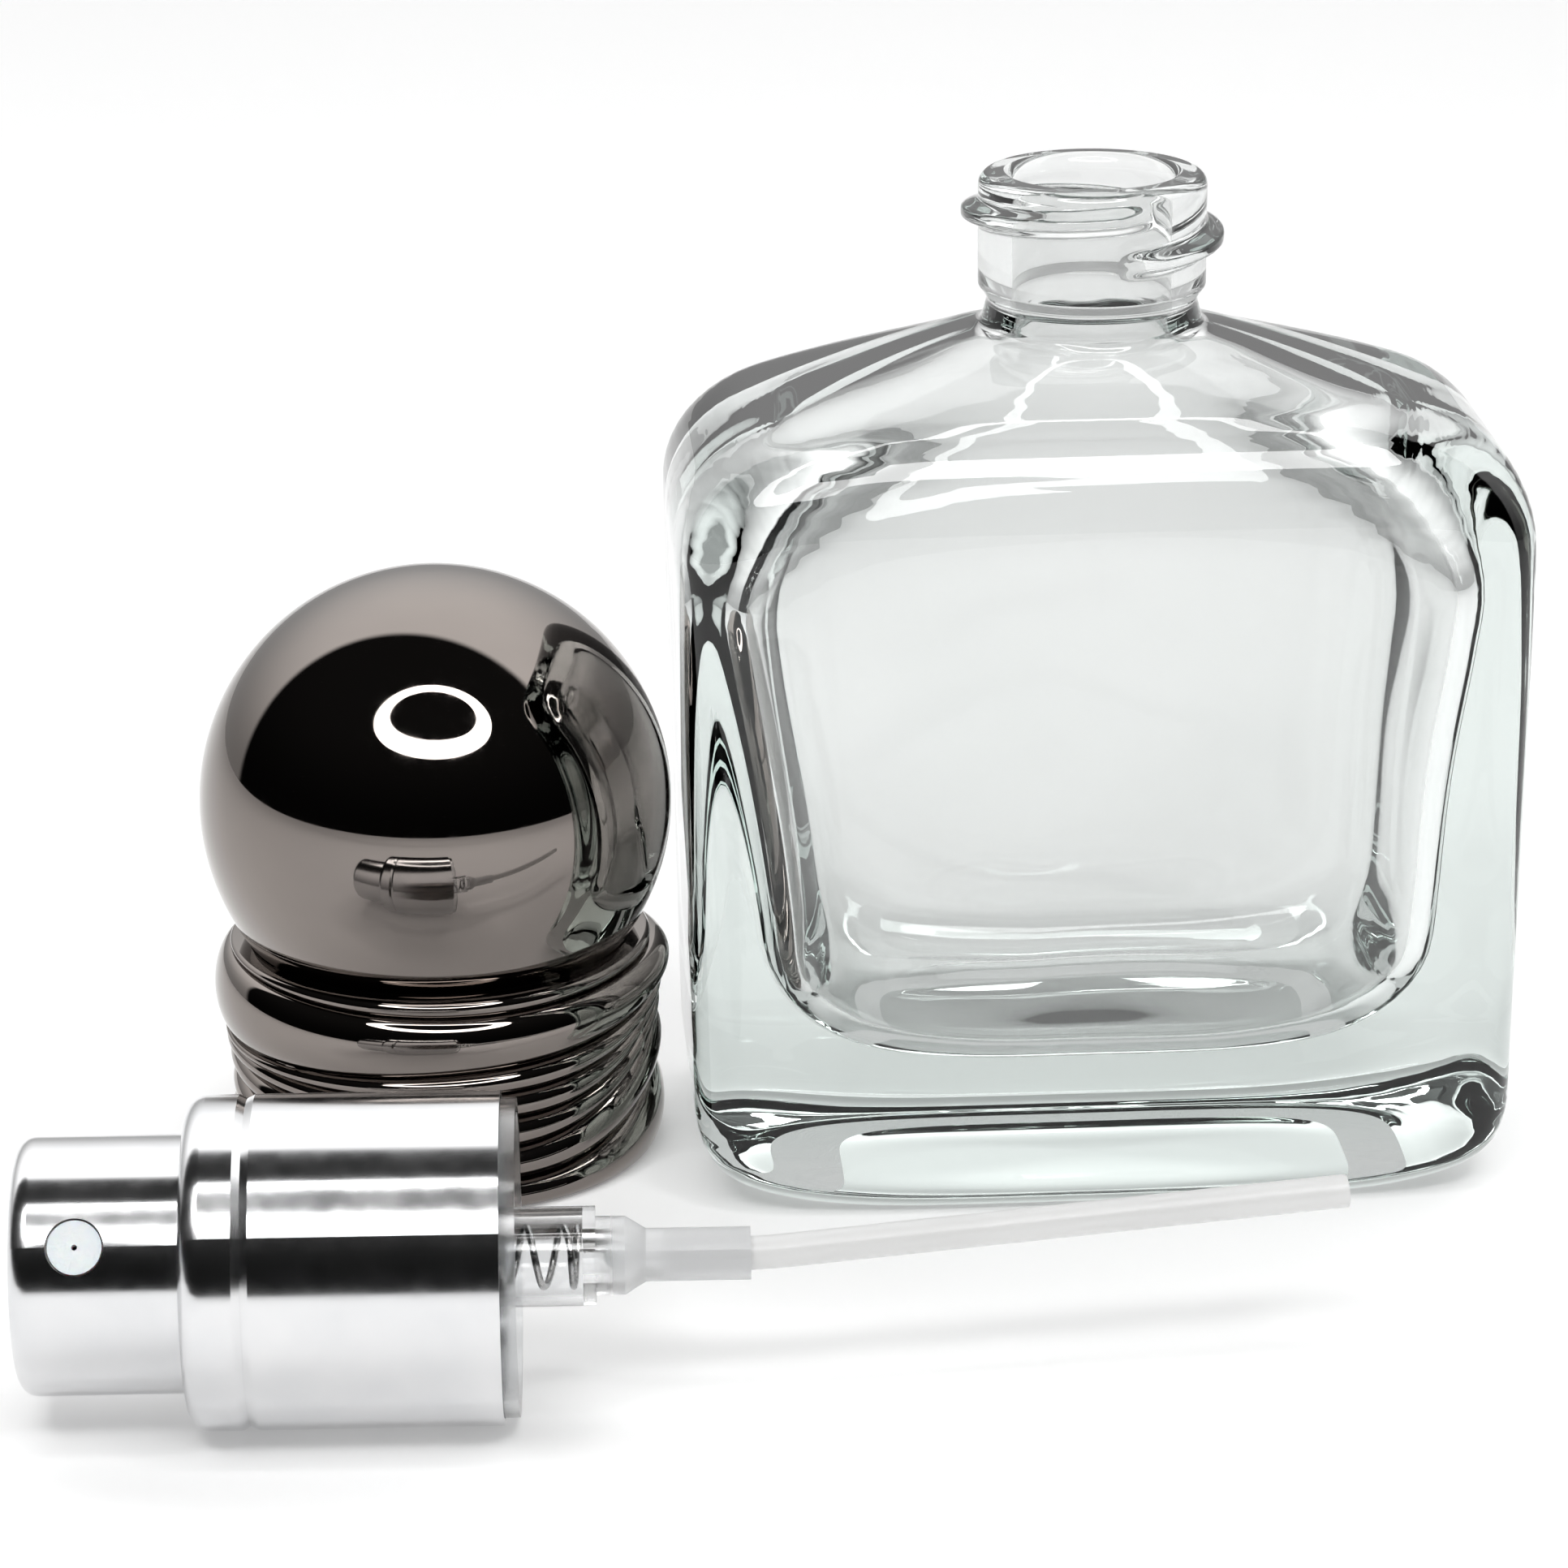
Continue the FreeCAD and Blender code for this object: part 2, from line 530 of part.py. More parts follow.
def actuator_shell():
    """Aluminium button cover with a round window for the nozzle."""
    body = lathe("actuator_shell", [
        ("button_radius - metal_wall + 0.04", "button_z"), ("button_radius", "button_z"),
        ("button_radius", "button_top_z"), ("0", "button_top_z"),
        ("0", "button_top_z - metal_wall"),
        ("button_radius - metal_wall + 0.04", "button_top_z - metal_wall")],
        [("crown", "button_round", "button_radius", "button_top_z")])
    bored_along_x(body, "window", "nozzle_z", "nozzle_radius + 0.12", "2", "button_radius")
    return body


def actuator_core():
    """Plastic core of the button: outer wall, stem socket and nozzle pocket."""
    body = lathe("actuator_core", [
        ("stem_radius + 0.02", "core_z"), ("boss_radius", "core_z"),
        ("boss_radius", "core_top_z - core_roof"),
        ("core_radius - core_wall", "core_top_z - core_roof"),
        ("core_radius - core_wall", "core_z"), ("core_radius", "core_z"),
        ("core_radius", "core_top_z - 0.9"), ("core_radius - 0.9", "core_top_z"),
        ("0", "core_top_z"), ("0", "nozzle_z + passage_top"),
        ("passage_radius", "nozzle_z + passage_top"),
        ("passage_radius", "stem_top_z + 0.02"), ("stem_radius + 0.02", "stem_top_z + 0.02")])
    bored_along_x(body, "arm", "nozzle_z", "nozzle_boss", "1.5", "core_radius - 2.2",
                  "PartDesign::Pad")
    bored_along_x(body, "pocket", "nozzle_z", "nozzle_radius + nozzle_fit",
                  "nozzle_back - nozzle_fit", "button_radius")
    bored_along_x(body, "branch", "nozzle_z", "branch_radius", "0", "nozzle_back")
    return body


def nozzle_insert():
    """Press-in disc with a swirl chamber behind a fine orifice."""
    body = new_body("nozzle_insert")
    length = "nozzle_front - nozzle_back"
    bored_along_x(body, "plug", "nozzle_z", "nozzle_radius", "nozzle_back", length,
                  "PartDesign::Pad")
    bored_along_x(body, "swirl", "nozzle_z", "swirl_radius", "nozzle_back", "swirl_depth")
    bored_along_x(body, "orifice", "nozzle_z", "orifice_radius", "nozzle_back", "nozzle_front")
    return body


def pump_placement(turn=0.0):
    """Lay a pump piece down: its +Z along the pump, its +X out of the nozzle."""
    heading, lift = math.radians(size("pump_heading")), math.radians(size("nozzle_lift"))
    along = FreeCAD.Vector(-math.cos(heading), math.sin(heading), 0)
    level = FreeCAD.Vector(-math.sin(heading), -math.cos(heading), 0)
    nozzle = level * math.cos(lift) + FreeCAD.Vector(0, 0, 1) * math.sin(lift)
    rotation = FreeCAD.Rotation(nozzle, along.cross(nozzle), along, "ZXY")
    own = FreeCAD.Rotation(FreeCAD.Vector(0, 0, 1), turn)
    place = FreeCAD.Vector(size("pump_x"), size("pump_y"), size("collar_radius"))
    return FreeCAD.Placement(place, rotation.multiply(own))


def build():
    """Every piece in its place, by name."""
    pieces = {"glass_bottle": glass_bottle()}
    on_cap = FreeCAD.Placement(FreeCAD.Vector(-size("cap_x"), size("cap_y"), 0),
                               FreeCAD.Rotation())
    for maker in (cap_ball, cap_skirt, cap_liner):
        pieces[maker.__name__] = maker()
        pieces[maker.__name__].Placement = on_cap
    lying = pump_placement()
    for maker in (pump_housing, turret, neck_gasket, collar_shell, collar_thread_ring, stem,
                  piston, spring, actuator_shell, actuator_core, nozzle_insert):
        pieces[maker.__name__] = maker()
        pieces[maker.__name__].Placement = lying
    pieces["dip_tube"] = dip_tube()
    pieces["dip_tube"].Placement = pump_placement(size("tube_turn"))
    pieces["inlet_ball"] = inlet_ball()
    offset = FreeCAD.Placement(FreeCAD.Vector(0, 0, size("check_ball_z")), FreeCAD.Rotation())
    pieces["inlet_ball"].Placement = lying.multiply(offset)
    return pieces


pieces = build()
doc.recompute()
failed = [item.Label for item in doc.Objects if "Invalid" in item.State or "Error" in item.State]
failed += [name for name, piece in pieces.items()
           if piece.Shape.isNull() or not piece.Shape.isValid() or len(piece.Shape.Solids) != 1]
if failed:
    raise RuntimeError("these objects failed: " + ", ".join(failed))

os.makedirs("parts", exist_ok=True)
for name, piece in pieces.items():
    piece.Shape.exportStep(f"parts/{name}.step")
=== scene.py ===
import math

import bmesh
import bpy
from mathutils import Matrix, Quaternion, Vector, noise


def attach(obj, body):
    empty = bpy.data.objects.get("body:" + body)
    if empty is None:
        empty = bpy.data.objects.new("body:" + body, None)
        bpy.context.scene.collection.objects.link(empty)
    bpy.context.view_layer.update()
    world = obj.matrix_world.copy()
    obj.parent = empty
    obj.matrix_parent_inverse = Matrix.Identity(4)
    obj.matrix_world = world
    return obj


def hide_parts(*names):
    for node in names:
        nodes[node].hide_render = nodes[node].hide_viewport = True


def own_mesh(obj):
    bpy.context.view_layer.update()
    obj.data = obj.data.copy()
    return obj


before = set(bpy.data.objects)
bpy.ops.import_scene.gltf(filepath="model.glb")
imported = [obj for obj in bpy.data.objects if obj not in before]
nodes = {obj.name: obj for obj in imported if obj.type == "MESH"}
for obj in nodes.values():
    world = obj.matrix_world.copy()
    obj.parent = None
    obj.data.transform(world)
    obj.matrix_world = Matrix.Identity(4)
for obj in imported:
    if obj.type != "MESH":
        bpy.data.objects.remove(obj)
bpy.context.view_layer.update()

MM = 0.001


# ---------------------------------------------------------------- places

PUMP_PLACE = Vector((-26.0, -44.7, 10.4)) * MM
PUMP_HEADING, NOZZLE_LIFT = math.radians(2.09), math.radians(31.0)
CAP_PLACE = Vector((-44.85, 2.4, 0)) * MM


def pump_frame():
    """The pump's own frame in the row frame: +Z along the pump, +X out of the nozzle."""
    heading, lift = PUMP_HEADING, NOZZLE_LIFT
    along = Vector((-math.cos(heading), math.sin(heading), 0))
    level = Vector((-math.sin(heading), -math.cos(heading), 0))
    nozzle = level * math.cos(lift) + Vector((0, 0, 1)) * math.sin(lift)
    side = along.cross(nozzle)
    place = Matrix((nozzle, side, along)).transposed().to_4x4()
    place.translation = PUMP_PLACE
    return place


def cap_frame():
    return Matrix.Translation(CAP_PLACE)


# ---------------------------------------------------------------- meshes

def mesh_object(name, bm, place=Matrix.Identity(4), crease=40):
    bmesh.ops.transform(bm, matrix=place, verts=bm.verts)
    mesh = bpy.data.meshes.new(name)
    bm.to_mesh(mesh)
    bm.free()
    mesh.shade_smooth()
    mesh.set_sharp_from_angle(angle=math.radians(crease))
    made = bpy.data.objects.new(name, mesh)
    bpy.context.scene.collection.objects.link(made)
    return made


def rounded_profile(points, steps=10):
    """An outline in mm: each point is (r, z), or (r, z, rounding radius) for a corner."""
    out = []
    count = len(points)
    for i, point in enumerate(points):
        here = Vector(point[:2])
        reach = point[2] if len(point) > 2 else 0
        if not reach:
            out.append(here)
            continue
        back = (Vector(points[i - 1][:2]) - here).normalized()
        ahead = (Vector(points[(i + 1) % count][:2]) - here).normalized()
        half = back.angle(ahead) / 2
        run = reach / math.tan(half)
        centre = here + (back + ahead).normalized() * (reach / math.sin(half))
        first, last = here + back * run - centre, here + ahead * run - centre
        sweep = first.angle_signed(last)
        for k in range(steps + 1):
            turn = Matrix.Rotation(-sweep * k / steps, 2)
            out.append(centre + turn @ first)
    return out


# ---------------------------------------------------------------- materials

# The part of a noise texture's range that carries most of its values.
NOISE_SPAN = (0.35, 0.65)


class Maker:
    """A material's node tree, with a Principled shader ready to be fed.

    Noise scales are in features per metre, and bump heights in metres.
    """

    def __init__(self, name):
        self.made = bpy.data.materials.new(name)
        self.made.use_nodes = True
        self.tree = self.made.node_tree
        self.shader = self.tree.nodes["Principled BSDF"]
        self.out = self.tree.nodes["Material Output"]
        self.place = self.tree.nodes.new("ShaderNodeTexCoord").outputs["Object"]

    def put(self, **values):
        for name, value in values.items():
            self.shader.inputs[name.replace("_", " ")].default_value = value

    def node(self, kind, **settings):
        made = self.tree.nodes.new("ShaderNode" + kind)
        for name, value in settings.items():
            setattr(made, name, value)
        return made

    def link(self, a, b):
        self.tree.links.new(a, b)

    def noise(self, scale, detail=4.0):
        made = self.node("TexNoise")
        made.inputs["Scale"].default_value = scale
        made.inputs["Detail"].default_value = detail
        self.link(self.place, made.inputs["Vector"])
        return made.outputs["Fac"]

    def spread(self, fac, low, high, target, span=NOISE_SPAN):
        """Feed one of the shader's sockets with low to high as fac crosses the span."""
        made = self.node("MapRange")
        made.inputs["From Min"].default_value = span[0]
        made.inputs["From Max"].default_value = span[1]
        made.inputs["To Min"].default_value = low
        made.inputs["To Max"].default_value = high
        self.link(fac, made.inputs["Value"])
        self.link(made.outputs["Result"], self.shader.inputs[target])

    def colour(self, fac, first, second):
        ramp = self.node("ValToRGB")
        stops = zip(ramp.color_ramp.elements, NOISE_SPAN, (first, second))
        for stop, position, shade in stops:
            stop.position = position
            stop.color = (*shade, 1)
        self.link(fac, ramp.inputs["Fac"])
        self.link(ramp.outputs["Color"], self.shader.inputs["Base Color"])

    def bump(self, fac, strength, height):
        made = self.node("Bump")
        made.inputs["Strength"].default_value = strength
        made.inputs["Distance"].default_value = height
        self.link(fac, made.inputs["Height"])
        self.link(made.outputs["Normal"], self.shader.inputs["Normal"])


def plated(name):
    m = Maker(name)
    m.put(Metallic=1.0)
    m.colour(m.noise(60), (0.225, 0.200, 0.184), (0.200, 0.178, 0.165))
    m.spread(m.noise(900, 6), 0.015, 0.05, "Roughness")
    m.bump(m.noise(500, 3), 0.04, 0.00002)
    return m.made


def aluminium(name):
    """Turned and polished: the tangent turns about X, so highlights run along the pump."""
    m = Maker(name)
    m.put(Metallic=1.0, Anisotropic=0.9, Anisotropic_Rotation=0.25)
    tangent = m.node("Tangent", direction_type="RADIAL", axis="X")
    m.link(tangent.outputs["Tangent"], m.shader.inputs["Tangent"])
    m.colour(m.noise(150), (0.71, 0.71, 0.715), (0.655, 0.66, 0.67))
    m.spread(m.noise(700, 4), 0.17, 0.21, "Roughness")
    m.bump(m.noise(260, 2), 0.03, 0.00002)
    return m.made


GLASS_TINT, GLASS_DENSITY = (0.66, 0.79, 0.745, 1), 17.0


def flint(name):
    """Clear glass, whose thick walls and edges turn faintly green."""
    m = Maker(name)
    m.put(Transmission_Weight=1.0, IOR=1.5)
    m.colour(m.noise(30), (0.860, 0.864, 0.862), (0.820, 0.827, 0.824))
    m.spread(m.noise(300), 0.0, 0.012, "Roughness")
    m.bump(m.noise(90, 2), 0.10, 0.0001)
    volume = m.node("VolumeAbsorption")
    volume.inputs["Color"].default_value = GLASS_TINT
    volume.inputs["Density"].default_value = GLASS_DENSITY
    m.link(volume.outputs["Volume"], m.out.inputs["Volume"])
    return m.made


def clear_plastic(name, first, second, rough, ior=1.49, weight=1.0):
    m = Maker(name)
    m.put(Transmission_Weight=weight, IOR=ior)
    m.colour(m.noise(200), first, second)
    m.spread(m.noise(500), rough[0], rough[1], "Roughness")
    m.bump(m.noise(700, 3), 0.08, 0.00004)
    return m.made


# Where along X, in metres, the housing's clear barrel gives way to its frosted cone.
FROSTING = (-0.0358, -0.0340)


def housing_plastic(name):
    """Clear at the barrel and frosted from the throat to the end of the tube socket."""
    m = Maker(name)
    m.put(IOR=1.49)
    m.colour(m.noise(200), (0.96, 0.965, 0.97), (0.93, 0.935, 0.94))
    split = m.node("SeparateXYZ")
    m.link(m.place, split.inputs["Vector"])
    m.spread(split.outputs["X"], 0.08, 0.38, "Roughness", FROSTING)
    m.spread(split.outputs["X"], 1.0, 0.62, "Transmission Weight", FROSTING)
    m.bump(m.noise(700, 3), 0.08, 0.00004)
    return m.made


def dull_plastic(name, first, second, rough, glow=0.0):
    m = Maker(name)
    m.put(IOR=1.5, Subsurface_Weight=glow, Subsurface_Scale=0.002)
    m.colour(m.noise(400), first, second)
    m.spread(m.noise(900), rough[0], rough[1], "Roughness")
    m.bump(m.noise(1500, 3), 0.08, 0.00004)
    return m.made


def tube_plastic(name):
    m = Maker(name)
    m.put(IOR=1.5, Transmission_Weight=0.35)
    m.colour(m.noise(150), (0.97, 0.97, 0.965), (0.94, 0.94, 0.935))
    m.spread(m.noise(600), 0.28, 0.36, "Roughness")
    m.bump(m.noise(500, 2), 0.03, 0.00002)
    return m.made


def steel(name):
    m = Maker(name)
    m.put(Metallic=1.0)
    m.colour(m.noise(800), (0.42, 0.41, 0.40), (0.30, 0.30, 0.30))
    m.spread(m.noise(2000), 0.15, 0.3, "Roughness")
    m.bump(m.noise(3000, 3), 0.1, 0.00002)
    return m.made


gunmetal = plated("gunmetal")
silver = aluminium("silver")
milky = clear_plastic("milky", (0.95, 0.955, 0.96), (0.92, 0.925, 0.935), (0.25, 0.35),
                      weight=0.45)
materials = {
    "glass_bottle": flint("glass"),
    "cap_ball": gunmetal, "cap_skirt": gunmetal,
    "cap_liner": dull_plastic("liner", (0.78, 0.78, 0.77), (0.70, 0.70, 0.69),
                              (0.4, 0.55)),
    "collar_shell": silver, "actuator_shell": silver,
    "collar_thread_ring": clear_plastic("thread_ring", (0.90, 0.905, 0.91),
                                        (0.86, 0.87, 0.875), (0.10, 0.18)),
    "pump_housing": housing_plastic("housing"),
    "neck_gasket": dull_plastic("gasket", (0.75, 0.75, 0.74), (0.65, 0.65, 0.64),
                                (0.6, 0.8)),
    "turret": milky, "stem": milky, "actuator_core": milky,
    "piston": dull_plastic("piston", (0.85, 0.85, 0.84), (0.8, 0.8, 0.79),
                           (0.3, 0.45), 0.2),
    "spring": steel("spring_steel"),
    "inlet_ball": clear_plastic("ball_glass", (0.93, 0.95, 0.95), (0.90, 0.93, 0.93),
                                (0.0, 0.03), 1.52),
    "dip_tube": tube_plastic("tube"),
    "nozzle_insert": dull_plastic("nozzle_white", (0.86, 0.86, 0.87), (0.8, 0.8, 0.82),
                                  (0.3, 0.4), 0.3),
}


def finish_with(obj, made):
    obj.data.materials.clear()
    obj.data.materials.append(made)


for node, made in materials.items():
    finish_with(nodes[node], made)


# ---------------------------------------------------------------- glass bottle

AROUND = 384
# How the points of a ring gather at the corners: half-width, half-depth and power.
SPREAD_WIDE, SPREAD_DEEP, SPREAD_POWER = 28.0, 15.5, 0.667

# The thread, in mm and degrees: how far before +X it starts, its sweep and the run of each
# faded end; its lower end's height, its pitch and its depth; half its width at the foot
# and the width of each flank. The band holds every ring that the thread can reach.
THREAD_START, THREAD_SWEEP, THREAD_FADE = 80.0, 374.0, 18.0
THREAD_FOOT, THREAD_PITCH, THREAD_DEPTH = 63.6, 3.175, 1.15
THREAD_HALF, THREAD_FLANK = 1.0, 0.75
THREAD_BAND = (61.5, 68.0)
# Between these heights the rings are three times as close, for the thread.
FINE_BAND = (60.9, 67.6)

# The outside, in mm: the front outline, the side outline, and how square the section is
# at each height. The base is slightly hollow, and the neck is round.
OUTER_FRONT = [(0.0, 0.0), (27.75, 0.0, 6.5), (28.75, 51.2, 8.0), (7.5, 58.1, 1.4),
               (7.05, 60.0), (7.65, 60.9, 0.4), (7.65, 68.5, 0.9), (6.0, 68.5)]
OUTER_SIDE = [(12.6, 0.0), (15.5, 0.0, 2.6), (15.6, 53.6, 12.0), (7.5, 57.9, 1.0),
              (7.05, 60.0), (7.65, 60.9, 0.4), (7.65, 68.5, 0.9)]
OUTER_SQUARE = [(0.0, 5.0), (4.0, 10.0), (42.0, 10.0), (53.0, 6.0), (57.2, 3.0),
                (58.5, 2.0)]
OUTER_STEP, OUTER_ROUND_ABOVE = 0.5, 58.5
BASE_WIDE, BASE_DEEP, BASE_SQUARE = 21.25, 12.9, 5.0
BASE_RISE, BASE_RISE_REACH = 0.35, 17.0

# The cavity in the same way, with a floor that is slightly domed.
INNER_FRONT = [(0.0, 9.7), (21.6, 9.7, 8.5), (25.8, 47.0, 11.0),
               (5.35, 57.2, 2.0), (5.35, 67.9), (5.9, 68.5)]
INNER_SIDE = [(8.0, 9.7), (10.9, 9.7, 3.2), (12.5, 49.5, 11.0),
              (5.35, 57.2, 2.0), (5.35, 67.9), (5.9, 68.5)]
INNER_SQUARE = [(9.7, 3.6), (16.0, 5.5), (40.0, 5.5), (52.0, 3.4), (57.5, 2.0)]
INNER_STEP, INNER_ROUND_ABOVE = 0.6, 58.0
CAVITY_FLOOR, CAVITY_WIDE, CAVITY_DEEP, CAVITY_SQUARE = 9.7, 13.5, 8.2, 3.6
CAVITY_RISE, CAVITY_RISE_REACH = 0.5, 12.0
# The uneven inner face: the wave's height, its scale and its stretch in depth, its place
# in the noise, its share on the side walls, and the height and run over which it ends.
WAVE_HEIGHT, WAVE_SCALE, WAVE_STRETCH = 0.55, 0.07, 1.6
WAVE_SEED = Vector((7.3, 1.9, 4.4))
WAVE_SIDE_PULL, WAVE_TOP, WAVE_FADE = 0.4, 56.0, 8.0


def follow(profile, step):
    """Points along an open profile in mm, no further apart than step."""
    out = [Vector(profile[0])]
    for start, end in zip(profile, profile[1:]):
        start, end = Vector(start), Vector(end)
        parts = max(1, math.ceil((end - start).length / step))
        out += [start.lerp(end, k / parts) for k in range(1, parts + 1)]
    return out


def at_height(profile, z):
    """The profile's reach at height z, for a profile whose heights only climb."""
    for (r1, z1), (r2, z2) in zip(profile, profile[1:]):
        if z <= z2:
            return r1 + (r2 - r1) * (z - z1) / max(z2 - z1, 1e-9)
    return profile[-1][0]


def climbing(points):
    """A rounded outline without the points that don't climb, for at_height."""
    line = rounded_profile(points)
    return [p for i, p in enumerate(line) if i == 0 or p[1] > line[i - 1][1]]


def smooth(t):
    return t * t * (3 - 2 * t)


def squareness(z, table):
    """The power of the section at height z, eased from one row of the table to the next."""
    for (z1, n1), (z2, n2) in zip(table, table[1:]):
        if z <= z2:
            return n1 + (n2 - n1) * smooth(max(0.0, (z - z1) / (z2 - z1)))
    return table[-1][1]


def section_row(z, wide, deep, square):
    """One ring of the glass: a superellipse, with its points spread towards the corners."""
    row = []
    for k in range(AROUND):
        t = 2 * math.pi * k / AROUND
        c, s = math.cos(t), math.sin(t)
        way = Vector((SPREAD_WIDE * math.copysign(abs(c) ** SPREAD_POWER, c),
                      SPREAD_DEEP * math.copysign(abs(s) ** SPREAD_POWER, s)))
        way.normalize()
        size = (abs(way.x) / wide) ** square + (abs(way.y) / deep) ** square
        reach = size ** (-1 / square)
        row.append(Vector((way.x * reach, way.y * reach, z)))
    return row


def thread_height(x, y, z):
    """How far the neck's thread stands out at a point, in mm."""
    lead = (math.degrees(math.atan2(y, x)) + THREAD_START) % 360.0
    best = 0.0
    for swing in (lead, lead + 360.0):
        if swing > THREAD_SWEEP:
            continue
        fade = min(1.0, swing / THREAD_FADE, (THREAD_SWEEP - swing) / THREAD_FADE)
        gap = abs(z - (THREAD_FOOT + THREAD_PITCH * swing / 360.0))
        flank = min(1.0, max(0.0, (THREAD_HALF - gap) / THREAD_FLANK))
        best = max(best, THREAD_DEPTH * fade * smooth(flank))
    return best


def outer_rows():
    """The rings from the middle of the base, up the outside, to the rim."""
    side = climbing(OUTER_SIDE)
    rows = []
    for wide, z in follow(rounded_profile(OUTER_FRONT), OUTER_STEP)[1:]:
        if z < 0.01:
            deep, n = BASE_DEEP * wide / BASE_WIDE, BASE_SQUARE
            z = BASE_RISE * max(0.0, 1 - (wide / BASE_RISE_REACH) ** 2)
        else:
            deep, n = at_height(side, z), squareness(z, OUTER_SQUARE)
        if z > OUTER_ROUND_ABOVE:
            deep = wide
        rows.append(section_row(z, wide, deep, n))
    fine = []
    for row, above in zip(rows, rows[1:]):
        fine.append(row)
        if FINE_BAND[0] < row[0].z < FINE_BAND[1]:
            fine.append([a.lerp(b, 1 / 3) for a, b in zip(row, above)])
            fine.append([a.lerp(b, 2 / 3) for a, b in zip(row, above)])
    for row in fine:
        if THREAD_BAND[0] < row[0].z < THREAD_BAND[1]:
            for v in row:
                out = Vector((v.x, v.y, 0)).normalized()
                v += out * thread_height(v.x, v.y, v.z)
    return fine + [rows[-1]]


def inner_rows():
    """The rings of the cavity, from the middle of its floor to the mouth."""
    side = climbing(INNER_SIDE)
    rows = []
    for wide, z in follow(rounded_profile(INNER_FRONT), INNER_STEP)[1:]:
        if z < CAVITY_FLOOR + 0.01:
            deep, n = CAVITY_DEEP * wide / CAVITY_WIDE, CAVITY_SQUARE
            z = CAVITY_FLOOR + CAVITY_RISE * max(0.0, 1 - (wide / CAVITY_RISE_REACH) ** 2)
        else:
            deep, n = at_height(side, z), squareness(z, INNER_SQUARE)
        if z > INNER_ROUND_ABOVE:
            deep = wide
        row = section_row(z, wide, deep, n)
        calm = min(1.0, max(0.0, (WAVE_TOP - z) / WAVE_FADE))
        for v in row:
            at = Vector((v.x, v.y * WAVE_STRETCH, v.z)) * WAVE_SCALE + WAVE_SEED
            out = Vector((v.x * WAVE_SIDE_PULL, v.y, 0)).normalized()
            v += out * noise.noise(at) * WAVE_HEIGHT * calm
        rows.append(row)
    return rows


def glass_mesh(name):
    """One closed surface through all the rings, outside and inside."""
    rows = outer_rows() + inner_rows()[::-1]
    bm = bmesh.new()
    rings = [[bm.verts.new(v * MM) for v in row] for row in rows]
    for ring, other in zip(rings, rings[1:]):
        for k in range(AROUND):
            n = (k + 1) % AROUND
            bm.faces.new([ring[k], ring[n], other[n], other[k]])
    for ring in (rings[0], rings[-1]):
        middle = bm.verts.new(sum((v.co for v in ring), Vector()) / AROUND)
        for k in range(AROUND):
            bm.faces.new([ring[k], ring[(k + 1) % AROUND], middle])
    bmesh.ops.recalc_face_normals(bm, faces=bm.faces)
    return mesh_object(name, bm, crease=80)


glass = glass_mesh("glass_body")
finish_with(glass, materials["glass_bottle"])
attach(glass, "bottle")
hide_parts("glass_bottle")


# ---------------------------------------------------------------- wrapped skirt

# Folds between neighbouring strands, from the top down: height in mm at the left, front,
# right and back of the cap, and how far the fold climbs as the strands bunch at the right.
FOLDS = [
    (15.3, 15.3, 15.3, 15.3, 0.0),
    (14.9, 14.0, 14.5, 14.5, 0.1),
    (9.3, 9.9, 10.6, 10.6, 1.6),
    (8.9, 8.4, 8.7, 9.2, 2.6),
    (7.8, 6.7, 6.2, 7.7, 4.4),
    (6.2, 4.3, 5.2, 6.3, 4.4),
    (4.0, 2.1, 2.4, 3.4, 3.2),
    (0.0, 0.0, 0.0, 0.0, 0.0),
]
# How far out each strand stands, in mm, at the same four places.
STRANDS = [
    (14.5, 14.6, 14.6, 14.6),
    (15.75, 15.3, 15.85, 15.5),
    (15.0, 15.1, 15.35, 15.2),
    (14.9, 15.0, 15.2, 15.1),
    (14.8, 15.0, 15.15, 15.1),
    (14.7, 15.1, 15.25, 15.2),
    (14.9, 15.3, 15.5, 15.3),
]


def around(values, turn):
    """A smooth closed curve through its values at the left, front, right and back."""
    left, front, right, back = values[:4]
    sides, ends = (left + right) / 2, (front + back) / 2
    return ((sides + ends) / 2 + (right - left) / 2 * math.cos(turn)
            + (back - front) / 2 * math.sin(turn) + (sides - ends) / 2 * math.cos(2 * turn))


def fold_height(fold, turn):
    return around(fold, turn) + fold[4] * max(0.0, math.cos(turn)) ** 4


# A strand's slow wave and its phase from one to the next, how far it swells between its
# folds, as a limit in mm and a share of its height, and how blunt the swell is.
STRAND_WAVE, STRAND_PHASE = 0.07, 1.7
SWELL_LIMIT, SWELL_SHARE, SWELL_POWER = 1.15, 0.55, 0.6
SKIRT_FOOT_SETBACK = 1.1
# The bore of the skirt, from its foot up, as (r, z) in mm.
SKIRT_BORE = [(12.14, 0.0), (12.14, 11.56), (13.14, 11.56), (13.14, 15.3)]


def skirt_section(turn, steps=14):
    """The skirt's closed outline at one angle, as (r, z) in mm."""
    section = []
    for i, strand in enumerate(STRANDS):
        top, low = fold_height(FOLDS[i], turn), fold_height(FOLDS[i + 1], turn)
        out = around(strand, turn) + STRAND_WAVE * math.sin(3 * turn + STRAND_PHASE * i)
        swell = min(SWELL_LIMIT, SWELL_SHARE * (top - low))
        for k in range(steps):
            t = (1 - math.cos(math.pi * k / steps)) / 2
            rise = (4 * t * (1 - t)) ** SWELL_POWER
            section.append((out - swell * (1 - rise), top + (low - top) * t))
    section.append((around(STRANDS[-1], turn) - SKIRT_FOOT_SETBACK, 0.0))
    return section + SKIRT_BORE


